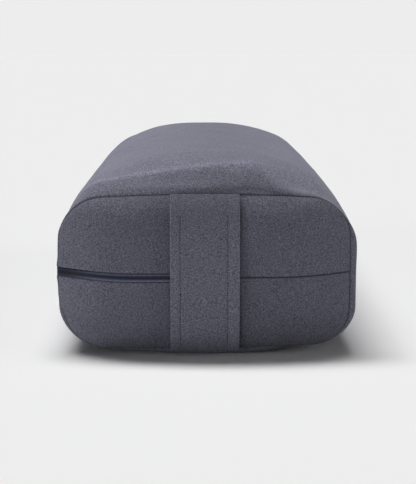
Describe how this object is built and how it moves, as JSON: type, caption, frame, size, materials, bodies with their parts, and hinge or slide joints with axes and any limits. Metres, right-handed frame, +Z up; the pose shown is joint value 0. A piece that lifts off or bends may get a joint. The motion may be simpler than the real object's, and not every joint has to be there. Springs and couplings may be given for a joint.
{
  "type": "yoga bolster",
  "caption": "Rectangular yoga bolster with a domed top, zipped suede-like cover, sewn-on carrying straps at the ends and a wrapped foam core.",
  "frame": {"origin": "bottom centre of the bounding box, on the surface that the bolster lies on", "axes": "+Y along the bolster's length towards its rear end, +Z up, +X to the right as seen facing the front end; the zip is on the -X side"},
  "size_m": [0.3159, 0.6742, 0.2082],
  "materials": {
    "suede": "slate grey suede-like microfibre with a short brushed nap",
    "liner": "plain woven unbleached cotton",
    "batting": "white fibre batting",
    "foam": "firm open-cell foam",
    "zip_tape": "navy woven polyester tape",
    "zip_coil": "navy nylon coil",
    "zip_metal": "navy coated zinc casting"
  },
  "bodies": {
    "cushion": {"cover_wrap_panel": "suede", "front_end_upper_panel": "suede", "front_end_lower_panel": "suede", "rear_end_upper_panel": "suede", "rear_end_lower_panel": "suede", "front_strap_upper_end": "suede", "front_strap_lower_end": "suede", "rear_strap_upper_end": "suede", "rear_strap_lower_end": "suede", "liner_wrap_panel": "liner", "liner_front_panel": "liner", "liner_rear_panel": "liner", "batting_wrap": "batting", "foam_core": "foam", "zip_upper_tape": "zip_tape", "zip_lower_tape": "zip_tape", "zip_upper_coil": "zip_coil", "zip_lower_coil": "zip_coil", "zip_front_stop": "zip_metal", "zip_rear_stop": "zip_metal"},
    "slider": {"zip_slider": "zip_metal"},
    "pull": {"zip_pull_tab": "zip_metal"},
    "front_grip": {"front_strap_grip": "suede"},
    "rear_grip": {"rear_strap_grip": "suede"}
  },
  "joints": [
    {"name": "zip_slide", "type": "slide", "parent": "cushion", "child": "slider", "axis": [0, -1, 0], "range_m": [0, 0.55]},
    {"name": "pull_flip", "type": "hinge", "parent": "slider", "child": "pull", "pos_m": [-0.15775, 0.2724, 0.0839], "axis": [0, 0, -1], "range_deg": [0, 175]},
    {"name": "front_strap_lift", "type": "slide", "parent": "cushion", "child": "front_grip", "axis": [0, -1, 0], "range_m": [0, 0.02]},
    {"name": "rear_strap_lift", "type": "slide", "parent": "cushion", "child": "rear_grip", "axis": [0, 1, 0], "range_m": [0, 0.02]}
  ]
}
